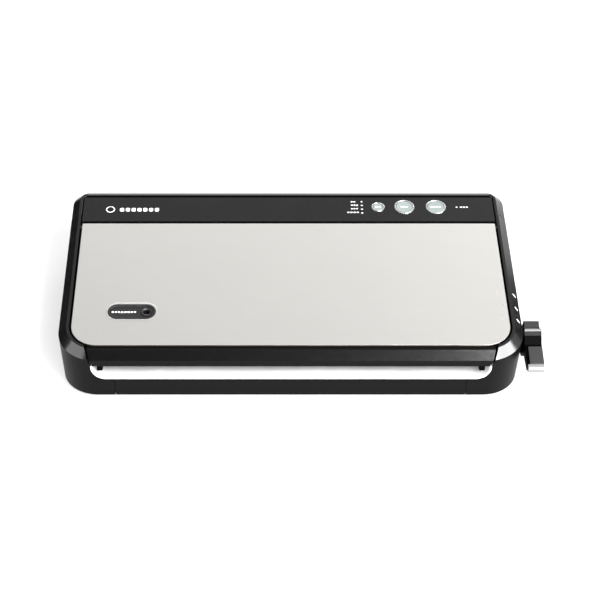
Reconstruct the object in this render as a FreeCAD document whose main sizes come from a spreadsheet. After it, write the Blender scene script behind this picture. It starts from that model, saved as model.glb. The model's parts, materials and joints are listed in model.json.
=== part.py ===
"""Countertop vacuum sealer, modelled as an assembly of separate pieces.

Axes: +X to the right, +Y to the back, +Z up; the rubber feet stand on Z = 0.
The casing is symmetric about X = 0 while it is modelled.  The files are written
about the middle of the whole footprint, side lever included.

The lid, the control panel and the side rails share one top plane that rises
gently to the back; top_z(y) is its height above the table.
"""
import FreeCAD, Part
import Sketcher
import math
import os

from FreeCAD import Placement, Rotation, Vector

DOC = FreeCAD.newDocument("vacuum_sealer")
SHEET = DOC.addObject("Spreadsheet::Sheet", "Sizes")
PARTS = {}                                   # node name -> (object, number of solids)
CORNERS = {}                                 # primitive's name -> its base point as three sizes


# ---------------------------------------------------------------- driving sizes

class Size:
    """A length or angle that knows its number and its spreadsheet expression."""

    def __init__(self, value, text=None):
        self.value = float(value)
        self.text = text if text is not None else repr(float(value))

    def _join(self, other, sign, value):
        other = as_size(other)
        return Size(value(self.value, other.value), f"({self.text} {sign} {other.text})")

    def __add__(self, other):
        return self._join(other, "+", lambda a, b: a + b)

    def __sub__(self, other):
        return self._join(other, "-", lambda a, b: a - b)

    def __mul__(self, other):
        return self._join(other, "*", lambda a, b: a * b)

    def __truediv__(self, other):
        return self._join(other, "/", lambda a, b: a / b)

    def __neg__(self):
        return Size(0) - self

    __radd__ = __add__
    __rmul__ = __mul__

    def __rsub__(self, other):
        return as_size(other) - self


def as_size(value):
    return value if isinstance(value, Size) else Size(value)


def bind(obj, prop, size):
    """Drives one property of an object from the spreadsheet."""
    obj.setExpression(prop, as_size(size).text)


SIZES = {
    # casing outline, at the sharp edge below the shoulder
    "half_width": 200.0,
    "front_y": -2.0,
    "rear_y": 206.5,
    "corner_front": 34.0,
    "corner_rear": 16.0,
    "shoulder": 7.0,
    "shoulder_drop": 6.3,
    "draft": 0.047,
    "wall": 2.5,
    "floor_z": 3.0,
    # top plane
    "slope_deg": 6.63,
    "rise": 0.11624,
    "crown_z": 51.8,
    # lid
    "plate_half": 188.5,
    "plate_front": 9.5,
    "plate_rear": 157.4,
    "plate_corner": 22.5,
    "plate_back_corner": 1.0,
    "sheet_steel": 0.8,
    "lid_gap": 2.0,
    "lip_z": 37.6,
    "liner_z": 33.5,
    "hinge_y": 156.0,
    "hinge_z": 65.5,
    "hinge_pin": 1.5,
    # front of the base
    "seam_x": 151.0,
    "mouth_half": 171.0,
    "mouth_corner": 13.0,
    "mouth_lean": 5.0,
    "mouth_lean_height": 14.0,
    "sill_z": 22.3,
    "seam": 0.4,
    # deck under the lid
    "deck_z": 27.8,
    "deck_sheet": 2.3,
    "deck_front": 35.0,
    "seal_half": 158.0,
    "seal_front": 37.0,
    "seal_rear": 44.0,
    "trough_half": 150.0,
    "trough_front": 58.0,
    "trough_rear": 86.0,
    "trough_z": 15.5,
    "gasket_width": 6.0,
    # control panel and rear housing
    "panel_front": 160.6,
    "panel_rear": 192.0,
    "panel_half": 189.2,
    "panel_sheet": 1.6,
    "rear_top": 194.8,
    "rear_half": 187.6,
    "rear_round": 9.5,
    "corner_seam_y": 170.0,
    # buttons
    "button_y": 179.2,
    "button_small_x": 82.9,
    "button_left_x": 107.2,
    "button_right_x": 136.3,
    "button_big": 7.6,
    "button_small": 4.5,
    "button_gap": 0.3,
    "bezel": 1.3,
    # latch
    "lever_y": 47.0,
    "lever_z": 21.0,
    "shaft": 3.0,
    "running": 0.06,
    "hook_x": 180.0,
    "hook_sheet": 3.5,
    "lever_x": 202.8,
    "lever_width": 14.7,
    # vacuum accessory port on the lid
    "port_x": -137.5,
    "port_y": 47.9,
    "port_long": 41.4,
    "port_wide": 17.2,
    "socket_x": -124.8,
    # drive and electrics
    "motor_y": 183.0,
    "motor_z": 31.0,
    "motor": 15.0,
    "head_z": 53.5,
    "spigot": 2.4,
    "trough_hose_x": 40.0,
    "valve_x": 17.0,
    "valve_y": 178.0,
    "valve_z": 17.7,
    "cord": 3.6,
    "cord_x": 150.0,
    "cord_z": 16.0,
    # middle of the whole footprint, which becomes the origin of the written files
    "middle_x": 8.85,
    "middle_y": 103.0,
}


def fill_sheet():
    """Writes the driving sizes to the sheet and returns them as Size objects."""
    made = {}
    for row, (name, value) in enumerate(SIZES.items(), start=1):
        SHEET.set(f"A{row}", name)
        SHEET.set(f"B{row}", str(value))
        SHEET.setAlias(f"B{row}", name)
        made[name] = Size(value, f"Sizes.{name}")
    DOC.recompute()
    return made


D = fill_sheet()


def top_z(y, below=0.0):
    """Height of the sloping top plane at depth y, less a distance."""
    return D["crown_z"] + (as_size(y) - D["plate_front"]) * D["rise"] - below


# ---------------------------------------------------------------- building blocks

def box(name, x, y, z):
    """Part::Box from three (low, high) pairs."""
    made = DOC.addObject("Part::Box", name)
    CORNERS[name] = [as_size(pair[0]) for pair in (x, y, z)]
    for prop, axis, (low, high) in (("Length", "x", x), ("Width", "y", y), ("Height", "z", z)):
        bind(made, prop, as_size(high) - low)
        bind(made, f"Placement.Base.{axis}", low)
    return made


TURNS = {"X": Rotation(Vector(0, 1, 0), 90), "Y": Rotation(Vector(1, 0, 0), -90), "Z": Rotation()}


def rod(name, axis, radius, start, end, across):
    """Part::Cylinder along a row axis, from start to end; across is its centre line."""
    made = DOC.addObject("Part::Cylinder", name)
    made.Placement = Placement(Vector(), TURNS[axis])
    bind(made, "Radius", radius)
    bind(made, "Height", as_size(end) - start)
    base = list(across)
    base.insert("XYZ".index(axis), start)
    CORNERS[name] = [as_size(value) for value in base]
    for letter, value in zip("xyz", base):
        bind(made, f"Placement.Base.{letter}", value)
    return made


def body(name):
    return DOC.addObject("PartDesign::Body", name)


def origin_plane(owner, role):
    return next(f for f in owner.Origin.OriginFeatures if f.Role == role)


def add_sketch(owner, name, plane, offset):
    sketch = owner.newObject("Sketcher::SketchObject", name)
    sketch.AttachmentSupport = (origin_plane(owner, f"{plane}_Plane"), [""])
    sketch.MapMode = "FlatFace"
    bind(sketch, "AttachmentOffset.Base.z", offset)
    return sketch


def pin_point(sketch, geometry, end, x, y):
    """Holds one end of a sketch line at (x, y)."""
    for kind, value in (("DistanceX", x), ("DistanceY", y)):
        size = as_size(value)
        index = sketch.addConstraint(
            Sketcher.Constraint(kind, -1, 1, geometry, end, size.value))
        sketch.setExpression(f"Constraints[{index}]", size.text)


def polygon(sketch, points):
    """Closed outline of straight lines, each corner held by two sizes."""
    numbers = [Vector(as_size(x).value, as_size(y).value, 0) for x, y in points]
    count = len(points)
    for i in range(count):
        sketch.addGeometry(Part.LineSegment(numbers[i], numbers[(i + 1) % count]))
    for i in range(count):
        sketch.addConstraint(Sketcher.Constraint("Coincident", i, 2, (i + 1) % count, 1))
    for i, (x, y) in enumerate(points):
        pin_point(sketch, i, 1, x, y)


def rounded(sketch, corners):
    """Closed outline of lines along the axes; corners are (x, y, radius or 0)."""
    count = len(corners)
    spots = [Vector(as_size(x).value, as_size(y).value, 0) for x, y, r in corners]
    radii = [as_size(r) for x, y, r in corners]
    sides = []
    for i in range(count):
        start, end = spots[i], spots[(i + 1) % count]
        along = (end - start).normalize()
        first = start + along * radii[i].value
        last = end - along * radii[(i + 1) % count].value
        sides.append(sketch.addGeometry(Part.LineSegment(first, last)))
        kind = "Vertical" if abs(along.x) < abs(along.y) else "Horizontal"
        sketch.addConstraint(Sketcher.Constraint(kind, sides[-1]))
        x, y, _ = corners[i]
        held, value = ("DistanceX", x) if kind == "Vertical" else ("DistanceY", y)
        size = as_size(value)
        index = sketch.addConstraint(
            Sketcher.Constraint(held, -1, 1, sides[-1], 1, size.value))
        sketch.setExpression(f"Constraints[{index}]", size.text)
    for i in range(count):
        before, after = sides[i - 1], sides[i]
        radius = radii[i].value
        if radius == 0:
            sketch.addConstraint(Sketcher.Constraint("Coincident", before, 2, after, 1))
            continue
        into = (spots[i] - spots[i - 1]).normalize()
        out = (spots[(i + 1) % count] - spots[i]).normalize()
        centre = spots[i] - into * radius + out * radius
        left_turn = into.x * out.y - into.y * out.x > 0
        from_angle = math.atan2(-out.y, -out.x)
        to_angle = math.atan2(into.y, into.x)
        if not left_turn:
            from_angle, to_angle = to_angle, from_angle
        circle = Part.Circle(centre, Vector(0, 0, 1), radius)
        arc = sketch.addGeometry(Part.ArcOfCircle(circle, from_angle, to_angle))
        begin, finish = (1, 2) if left_turn else (2, 1)
        sketch.addConstraint(Sketcher.Constraint("Tangent", before, 2, arc, begin))
        sketch.addConstraint(Sketcher.Constraint("Tangent", arc, finish, after, 1))
        index = sketch.addConstraint(Sketcher.Constraint("Radius", arc, radius))
        sketch.setExpression(f"Constraints[{index}]", radii[i].text)


def pad(owner, sketch, length):
    made = owner.newObject("PartDesign::Pad", f"{owner.Name}_pad")
    made.Profile = sketch
    bind(made, "Length", length)
    return made


def round_edges(owner, feature, name, radius, chosen):
    """Fillets the edges of a feature for which chosen(bounding box) is true."""
    DOC.recompute()
    edges = [f"Edge{i + 1}" for i, edge in enumerate(feature.Shape.Edges) if chosen(edge.BoundBox)]
    made = owner.newObject("PartDesign::Fillet", name)
    made.Base = (feature, edges)
    bind(made, "Radius", radius)


def prism(name, plane, points, start, end):
    """Body with one padded polygon; plane is XY, XZ or YZ and start < end along its normal axis."""
    owner = body(name)
    offset = -as_size(end) if plane == "XZ" else as_size(start)
    sketch = add_sketch(owner, f"{name}_outline", plane, offset)
    polygon(sketch, points)
    pad(owner, sketch, as_size(end) - start)
    return owner


def slab(name, corners, start, end):
    """Body with one padded plan outline that has rounded corners."""
    owner = body(name)
    sketch = add_sketch(owner, f"{name}_outline", "XY", start)
    rounded(sketch, corners)
    pad(owner, sketch, as_size(end) - start)
    return owner


def rectangle(x, y, front_radius=0, rear_radius=None):
    """Corners of a plan rectangle from (low, high) pairs, anticlockwise."""
    rear_radius = front_radius if rear_radius is None else rear_radius
    return [(x[0], y[0], front_radius), (x[1], y[0], front_radius),
            (x[1], y[1], rear_radius), (x[0], y[1], rear_radius)]


def fuse(name, *pieces):
    made = DOC.addObject("Part::MultiFuse", name)
    made.Shapes = list(pieces)
    made.Refine = True
    return made


def common(name, first, second):
    made = DOC.addObject("Part::Common", name)
    made.Base, made.Tool = first, second
    made.Refine = True
    return made


def cut(name, base, *tools):
    made = DOC.addObject("Part::Cut", name)
    made.Base = base
    made.Tool = tools[0] if len(tools) == 1 else fuse(f"{name}_tools", *tools)
    made.Refine = True
    return made


def tilt(made, x=0.0, y=None):
    """Lays an object built flat about its own origin on the top plane at (x, y)."""
    y = D["plate_front"] if y is None else as_size(y)
    across, back, up = CORNERS.get(made.Name, [Size(0)] * 3)
    angle = math.radians(D["slope_deg"].value)
    cosine = Size(math.cos(angle), "cos(Sizes.slope_deg * 1 deg)")
    sine = Size(math.sin(angle), "sin(Sizes.slope_deg * 1 deg)")
    made.Placement = Placement(Vector(), Rotation(Vector(1, 0, 0), 1.0))
    bind(made, "Placement.Rotation.Angle", D["slope_deg"])
    bind(made, "Placement.Base.x", as_size(x) + across)
    bind(made, "Placement.Base.y", y + back * cosine - up * sine)
    bind(made, "Placement.Base.z", top_z(y) + back * sine + up * cosine)
    return made


def part(node, made, solids=1):
    """Registers an object as the sub-part called node."""
    made.Label = node
    PARTS[node] = (made, solids)
    return made


def both_sides(name, maker):
    """Fuses what maker builds for the right (+1) and the left (-1)."""
    return fuse(name, maker(f"{name}_right", 1), maker(f"{name}_left", -1))


def mirrored(sign, low, high):
    """The (low, high) X range on the right, or its mirror image on the left."""
    low, high = as_size(low), as_size(high)
    return (low, high) if sign > 0 else (-high, -low)


# ---------------------------------------------------------------- casing

def casing_form(name, inset, crown_drop):
    """The whole outer form, drawn in by inset and lowered by crown_drop, down below the floor."""
    made = body(name)
    deep = 90.0

    def section(level, shrink, label):
        """Plan outline in the tilted frame; it slides forward as it goes down."""
        slide = D["rise"] * level
        draw = as_size(inset) + shrink
        shift = slide - D["plate_front"]
        x = D["half_width"] - draw
        front, rear = D["front_y"] + draw + shift, D["rear_y"] - draw + shift
        sketch = add_sketch(made, f"{name}_{label}", "XY", level)
        rounded(sketch, [(-x, front, D["corner_front"] - draw), (x, front, D["corner_front"] - draw),
                         (x, rear, D["corner_rear"] - draw), (-x, rear, D["corner_rear"] - draw)])
        return sketch

    crown = section(-as_size(crown_drop), D["shoulder"], "crown")
    crease_level = -(as_size(crown_drop) + D["shoulder_drop"])
    crease = section(crease_level, 0, "crease")
    crease_again = section(crease_level, 0, "crease_low")
    skirt = section(Size(-deep), (Size(deep) - D["shoulder_drop"]) * D["draft"], "skirt")
    for label, low, high in (("shoulder", crown, crease), ("wall", crease_again, skirt)):
        loft = made.newObject("PartDesign::AdditiveLoft", f"{name}_{label}")
        loft.Profile = low
        loft.Sections = [(high, [""])]
        loft.Ruled = True
    return tilt(made)


def lid_well(name, gap, low):
    """Plan prism of the space that the lid and the rear housing drop into."""
    side = D["plate_half"] + gap
    front = D["plate_front"] - gap
    radius = D["plate_corner"] + gap
    rear_side = D["rear_half"] + 0.6
    step_y = D["panel_rear"] + 1.0
    far = 240.0
    return slab(name, [(-side, front, radius), (side, front, radius), (side, step_y, 0),
                       (rear_side, step_y, 0), (rear_side, far, 0), (-rear_side, far, 0),
                       (-rear_side, step_y, 0), (-side, step_y, 0)], low, 120)


def mouth_form(name, grow, front, rear):
    """XZ prism of the bag mouth: slanted sides at the lid's ends, rounded corners at the sill."""
    made = body(name)
    steps_up = 3
    half, low = D["mouth_half"] + grow, D["sill_z"] - grow
    high_half = half + D["mouth_lean"] * steps_up
    high = D["lip_z"] + D["mouth_lean_height"] * steps_up
    sketch = add_sketch(made, f"{name}_outline", "XZ", -as_size(rear))
    polygon(sketch, [(-half, low), (half, low), (half, D["lip_z"]), (high_half, high),
                     (-high_half, high), (-half, D["lip_z"])])
    block = pad(made, sketch, as_size(rear) - front)
    round_edges(made, block, f"{name}_corners", D["mouth_corner"] + grow,
                lambda edge: abs(abs(edge.Center.x) - half.value) < 0.01
                and abs(edge.Center.z - low.value) < 0.01 and edge.YLength > 1)
    return made


def build_ring():
    """Casing wall with shoulder, rims and wings, before it is parted at its seams."""
    outer = casing_form("casing_outer", 0, 0)
    inner = casing_form("casing_inner", D["wall"], D["wall"])
    below = box("below_floor", (-300, 300), (-100, 300), (-100, D["floor_z"]))
    low_room = common("low_room", inner,
                      box("low_space", (-300, 300), (-100, 300), (-50, D["deck_z"] + 0.2)))
    well = lid_well("lid_well", D["lid_gap"], D["deck_z"] + 0.2)
    mouth = mouth_form("mouth_cut", 0, -20, 30)
    rear_gap = box("rear_gap", (-(D["rear_half"] + 0.6), D["rear_half"] + 0.6), (D["panel_rear"], 240),
                   (-10, 60))
    rail_rooms = []
    for side, sign in (("right", 1), ("left", -1)):
        low, high = 36.0, D["corner_seam_y"] + 14
        x = mirrored(sign, D["plate_half"] + D["lid_gap"] + 2.6, D["half_width"] - D["wall"] - 0.4)
        rail_rooms.append(prism(f"rail_room_{side}", "YZ",
                                [(low, 20), (high, 20), (high, top_z(high, 9)), (low, top_z(low, 9))],
                                *x))
    return cut("ring", outer, below, low_room, well, mouth, rear_gap, *rail_rooms)


def build_casing():
    ring = build_ring()
    seam = D["seam"] / 2
    far = 240.0
    front_region = box("front_bar_region", (-(D["seam_x"] - seam), D["seam_x"] - seam), (-20, 20),
                       (0, D["sill_z"] + 1))
    part("front_bar", common("front_bar", ring, front_region))
    pin_hole = both_sides("hinge_pin_holes", lambda name, sign: rod(
        name, "X", D["hinge_pin"] + D["running"],
        *mirrored(sign, D["plate_half"], D["plate_half"] + 6.5), (D["hinge_y"], D["hinge_z"])))
    for side, sign in (("left", -1), ("right", 1)):
        rail = common(f"{side}_rail_body", ring, box(
            f"{side}_rail_region", mirrored(sign, D["seam_x"] + seam, far),
            (-20, D["corner_seam_y"] - seam), (-10, 120)))
        tools = [pin_hole]
        if sign > 0:
            tools.append(rod("lever_hole", "X", 6.0, 185, 230, (D["lever_y"], D["lever_z"])))
        part(f"{side}_side_rail", cut(f"{side}_side_rail", rail, *tools))
        part(f"{side}_rear_corner", common(f"{side}_rear_corner", ring, box(
            f"{side}_corner_region", mirrored(sign, D["rear_half"], far),
            (D["corner_seam_y"] + seam, far), (-10, 120))))
    build_base_pan()
    build_rear_housing()


def build_base_pan():
    """Bottom cover with foot recesses, screw holes and vents below the pump."""
    draw = D["wall"] + 3.4
    half = D["half_width"] - draw
    plate = slab("base_pan_plate", rectangle(
        (-half, half), (D["front_y"] + draw, D["rear_y"] - draw - 3.5), 28, 11),
        D["floor_z"], D["floor_z"] + 2.5)
    tools = [rod(f"pan_screw_hole_{i}", "Z", 1.8, 0, 12, spot) for i, spot in enumerate(screw_spots())]
    for i in range(9):
        x = -78 + i * 9
        tools.append(box(f"vent_{i}", (x, x + 4), (172, 194), (0, 12)))
    part("base_pan", cut("base_pan", plate, *tools))
    feet = [rod(f"foot_{i}", "Z", 8.0, 0, D["floor_z"], (x, y))
            for i, (x, y) in enumerate(((-170, 24), (170, 24), (-170, 182), (170, 182)))]
    part("rubber_feet", fuse("rubber_feet", *feet), solids=4)
    screws = []
    for i, spot in enumerate(screw_spots()):
        screws.append(fuse(f"base_screw_{i}",
                           rod(f"base_screw_head_{i}", "Z", 3.0, 1.4, D["floor_z"], spot),
                           rod(f"base_screw_shank_{i}", "Z", 1.5, 2, 14, spot)))
    part("base_screws", fuse("base_screws", *screws), solids=6)


def screw_spots():
    return [(x, y) for x in (-184, 184) for y in (70, 145)] + [(-60, 30), (60, 30)]


def build_rear_housing():
    """Cover behind the lid: panel seat on top, rounded rear edge, back wall with the cord outlet."""
    front, back = D["panel_front"] - 0.2, D["rear_y"] - 0.3
    foot = D["rear_y"] - 2.6
    seat_rear = D["panel_rear"] + 0.3
    skin = 2.5
    low_front = 60.0
    outer = prism("housing_outer", "YZ", [
        (front, low_front), (foot - 3, low_front), (foot - 3, D["floor_z"] + 0.4),
        (foot, D["floor_z"] + 0.4), (back, top_z(back)), (front, top_z(front))],
        -D["panel_half"], D["panel_half"])
    round_edges(outer, DOC.getObject("housing_outer_pad"), "housing_rounding", D["rear_round"],
                lambda edge: edge.XLength > 100 and abs(edge.Center.y - back.value) < 0.1
                and edge.Center.z > 60)
    seat = prism("panel_seat", "YZ", [
        (front - 5, top_z(front - 5, D["panel_sheet"])), (seat_rear, top_z(seat_rear, D["panel_sheet"])),
        (seat_rear, top_z(seat_rear, -5)), (front - 5, top_z(front - 5, -5))], -200, 200)
    groove = prism("rear_groove", "YZ", [
        (seat_rear - 1, top_z(seat_rear, 1.6)), (D["rear_top"], top_z(D["rear_top"], 1.6)),
        (D["rear_top"], top_z(D["rear_top"], -5)), (seat_rear - 1, top_z(seat_rear, -5))], -200, 200)
    room = prism("housing_room", "YZ", [
        (front + skin, -20), (foot - 2.2, -20), (foot - 2.2, 10), (back - 2.2, 62),
        (D["rear_top"] - 1.5, top_z(D["rear_top"], 5)), (front + skin, top_z(front, 4.4))],
        -(D["rear_half"] - 2.4), D["rear_half"] - 2.4)
    trims = [box(f"housing_trim_{side}", mirrored(sign, D["rear_half"], 220),
                 (D["panel_rear"] + 0.4, 240), (-10, 120)) for side, sign in (("right", 1), ("left", -1))]
    holes = []
    for name, x, radius in button_places():
        holes.append(tilt(rod(f"housing_{name}_hole", "Z", radius + D["bezel"] + 0.9, -20, 20, (0, 0)),
                          x, D["button_y"]))
    for i, (x, y) in enumerate(LAMP_PLACES):
        holes.append(tilt(rod(f"housing_lamp_hole_{i}", "Z", 1.3, -20, 20, (0, 0)), x, y))
    cord_line = (D["cord_x"], D["cord_z"])
    gland_hole = rod("gland_hole", "Y", D["cord"] + 2.4, 190, 230, cord_line)
    part("rear_housing", cut("rear_housing", outer, seat, groove, room, gland_hole, *trims, *holes))

    sleeve = fuse("gland_body", rod("gland_sleeve", "Y", D["cord"] + 2.3, 196, 208, cord_line),
                  rod("gland_flange", "Y", D["cord"] + 4.4, 196, 198.6, cord_line))
    part("cord_gland", cut("cord_gland", sleeve, rod("gland_bore", "Y", D["cord"], 180, 230, cord_line)))


# ---------------------------------------------------------------- deck, bag tray and seal bar

def trough_outline(grow):
    return ((-(D["trough_half"] + grow), D["trough_half"] + grow),
            (D["trough_front"] - grow, D["trough_rear"] + grow))


def build_deck():
    """Inner chassis: deck with the vacuum trough, ribs, screw posts and shaft cradles."""
    low, high = D["deck_z"] - D["deck_sheet"], D["deck_z"]
    floor = D["floor_z"] + 2.7
    half = D["half_width"] - 8.2
    plate = box("deck_plate", (-half, half), (D["deck_front"], D["panel_front"]), (low, high))
    riser = box("deck_riser", (-(D["plate_half"] + 1), D["plate_half"] + 1),
                (D["panel_front"] - 2, D["panel_front"]), (low, 59.7))
    trough = box("trough_shell", *trough_outline(2), (D["trough_z"] - 2, low))
    pieces = [plate, riser, trough]
    for i, spot in enumerate(screw_spots()[:4]):
        pieces.append(rod(f"screw_post_{i}", "Z", 4.5, floor, low, spot))
    for side, sign in (("right", 1), ("left", -1)):
        pieces.append(box(f"cradle_{side}", mirrored(sign, 167, 170), (D["lever_y"] - 8, D["lever_y"] + 8),
                          (floor, low)))
        pieces.append(box(f"rib_{side}", mirrored(sign, 154, 156), (D["deck_front"], D["panel_front"]),
                          (floor + 6, low)))
    hose_z = D["trough_z"] + 5
    pieces.append(rod("trough_spigot", "Y", D["spigot"], 87, 96, (D["trough_hose_x"], hose_z)))
    tools = [box("trough_room", *trough_outline(0), (D["trough_z"], 60)),
             rod("shaft_tunnel", "X", D["shaft"] + D["running"], -190, 190, (D["lever_y"], D["lever_z"])),
             rod("hose_hole", "Y", D["spigot"] - 0.9, 80, 100, (D["trough_hose_x"], hose_z))]
    for side, sign in (("right", 1), ("left", -1)):
        tools.append(box(f"latch_slot_{side}", mirrored(sign, 174.5, 185.5), (30, 58.8), (0, 60)))
    for i, spot in enumerate(screw_spots()[:4]):
        tools.append(rod(f"post_pilot_{i}", "Z", 1.55, 0, 15, spot))
    part("chassis_deck", cut("chassis_deck", fuse("deck_body", *pieces), *tools))


def build_bag_tray():
    """Light-coloured shelf in the mouth, its ends turned up to follow the opening."""
    front, rear = D["front_y"] + 0.5, D["deck_front"] - 0.5
    outer = mouth_form("tray_outer", -0.25, front, rear)
    inner = mouth_form("tray_inner", -2.0, -40, 60)
    lid_room = box("tray_top_trim", (-300, 300), (-60, 80), (D["lip_z"] - 0.6, 140))
    part("bag_tray", cut("bag_tray", outer, inner, lid_room))


def build_seal_bar():
    low = D["deck_z"]
    x = (-D["seal_half"], D["seal_half"])
    part("heater_bar", box("heater_bar", x, (D["seal_front"], D["seal_rear"]), (low, low + 1.9)))
    part("heater_wire", box("heater_wire", x, (D["seal_front"] + 2.2, D["seal_rear"] - 2.2),
                            (low + 1.9, low + 2.1)))
    tape = box("tape_sheet", x, (D["seal_front"] - 0.6, D["seal_rear"] + 0.6), (low + 1.9, low + 2.4))
    wire_room = box("tape_room", x, (D["seal_front"] + 2.2, D["seal_rear"] - 2.2),
                    (low + 1.5, low + 2.1))
    part("seal_tape", cut("seal_tape", tape, wire_room))


def gasket(name, low, high):
    """Racetrack ring of foam round the vacuum trough."""
    x, y = trough_outline(10)
    width = D["gasket_width"]
    ring = slab(f"{name}_outer", rectangle(x, y, 14), low, high)
    inside = slab(f"{name}_inner", rectangle((x[0] + width, x[1] - width),
                                             (y[0] + width, y[1] - width), 14 - width), low - 1, high + 1)
    return cut(name, ring, inside)


def build_channel():
    part("lower_gasket", gasket("lower_gasket", D["deck_z"], D["deck_z"] + 3.2))
    x, y = trough_outline(-0.4)
    low, high = D["trough_z"] + 0.3, D["deck_z"] - 0.3
    outer = slab("drip_tray_outer", rectangle(x, y, 6), low, high)
    inner = slab("drip_tray_inner", rectangle((x[0] + 1.5, x[1] - 1.5), (y[0] + 1.5, y[1] - 1.5), 4.5),
                 low + 1.5, high + 5)
    spout = rod("drip_tray_port", "Y", 3.5, 78, 92, (D["trough_hose_x"], D["trough_z"] + 5))
    part("drip_tray", cut("drip_tray", outer, inner, spout))


# ---------------------------------------------------------------- lid

def lid_front_block(name, grow, low):
    """Prism that bounds the front strip of the lid between its slanted ends."""
    steps_up = 3
    half = D["mouth_half"] - D["lid_gap"] + grow
    high_half = half + D["mouth_lean"] * steps_up
    high = D["lip_z"] + D["mouth_lean_height"] * steps_up
    return prism(name, "XZ", [(-half, low), (half, low), (half, D["lip_z"]), (high_half, high),
                              (-high_half, high), (-half, D["lip_z"])], -20, 32)


def lid_plan(name, inset):
    """Plan prism of the lid's main area."""
    half = D["plate_half"] - inset
    return slab(name, rectangle((-half, half), (D["plate_front"] + inset, D["plate_rear"] - inset),
                                D["plate_corner"] - inset, D["plate_back_corner"]), 0, 120)


def top_layer(name, front, rear, above, below):
    """Layer parallel to the top plane, between two distances below it."""
    return prism(name, "YZ", [(front, top_z(front, below)), (rear, top_z(rear, below)),
                              (rear, top_z(rear, above)), (front, top_z(front, above))], -220, 220)


def build_lid():
    sheet = D["sheet_steel"]
    skin = common("steel_skin", lid_plan("steel_plan", 0), top_layer("steel_layer", 0, 170, 0, 1.5))
    under = common("steel_under", lid_plan("steel_inside", sheet),
                   top_layer("steel_under_layer", -5, 175, sheet, 4))
    well = port_form("port_hole", 0.2, -10, 10)
    steel = part("lid_steel_plate", cut("lid_steel_plate", skin, under, well))

    front_y = D["front_y"]
    ledge_y = D["plate_front"] - 4.4
    edge_y = D["plate_front"] + sheet + 0.1
    form = prism("lid_form", "YZ", [
        (front_y + 0.3, D["lip_z"]), (front_y + 4, D["lip_z"]), (D["plate_front"] + 1.4, 41.5),
        (40, top_z(40, 10)), (170, top_z(170, 10)), (170, top_z(170, sheet + 0.1)),
        (edge_y, top_z(edge_y, sheet + 0.1)), (edge_y, top_z(edge_y, 1.7)),
        (D["plate_front"] - 0.6, top_z(D["plate_front"], 1.7)), (ledge_y, top_z(ledge_y, 1.0)),
        (front_y, top_z(front_y, D["shoulder_drop"]))], -220, 220)
    main = common("lid_main", form, lid_plan("lid_inside_plan", sheet + 0.1))
    strip = common("lid_strip", form, lid_front_block("lid_strip_block", 0, 20))
    room = prism("lid_room", "YZ", [
        (front_y + 2.6, 0), (140, 0), (140, top_z(140, 3)), (12, top_z(12, 3)),
        (front_y + 7.2, top_z(front_y + 7.2, 3.4)), (front_y + 2.6, top_z(front_y + 2.6, 8))],
        -(D["mouth_half"] - 4.5), D["mouth_half"] - 4.5)
    wide_room = prism("lid_wide_room", "YZ", [(34, 0), (154, 0), (154, top_z(154, 3)), (34, top_z(34, 3))],
                      -(D["plate_half"] - 3.4), D["plate_half"] - 3.4)
    hose_hole = tilt(rod("shell_port_hole", "Z", 4.0, -30, 30, (0, 0)), D["socket_x"], D["port_y"])
    pins = both_sides("lid_pin_holes", lambda name, sign: rod(
        name, "X", D["hinge_pin"] + 0.02, *mirrored(sign, 178, 192), (D["hinge_y"], D["hinge_z"])))
    boss = both_sides("lid_pin_bosses", lambda name, sign: box(
        name, mirrored(sign, 180, 186), (D["hinge_y"] - 5, D["hinge_y"] - 1.5 + 1.8),
        (D["hinge_z"] - 3, D["hinge_z"] + 2.2)))
    port_seat = port_form("shell_port_seat", 0.2, -1.9, 10)
    shell = cut("lid_shell_hollow", fuse("lid_shell_body", main, strip), room, wide_room)
    bossed = fuse("lid_shell_bossed", shell, boss)
    part("lid_shell", cut("lid_shell", bossed, pins, hose_hole, port_seat, steel))
    hinge_line = (D["hinge_y"], D["hinge_z"])
    part("hinge_pins", both_sides("hinge_pins", lambda name, sign: rod(
        name, "X", D["hinge_pin"], *mirrored(sign, 180.5, D["plate_half"] + 6), hinge_line)), solids=2)
    build_liner()
    build_port()


def liner_plan(inset):
    """Plan of the lid's inner panel: a nose between the wings, wide behind them."""
    nose, wide = D["mouth_half"] - 5 - inset, D["plate_half"] - 4 - inset
    front, step, rear = 13.5 + inset, 35.5 + inset, 152.0 - inset
    return [(-nose, front, 0), (nose, front, 0), (nose, step, 0), (wide, step, 0), (wide, rear, 0),
            (-wide, rear, 0), (-wide, step, 0), (-nose, step, 0)]


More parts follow.
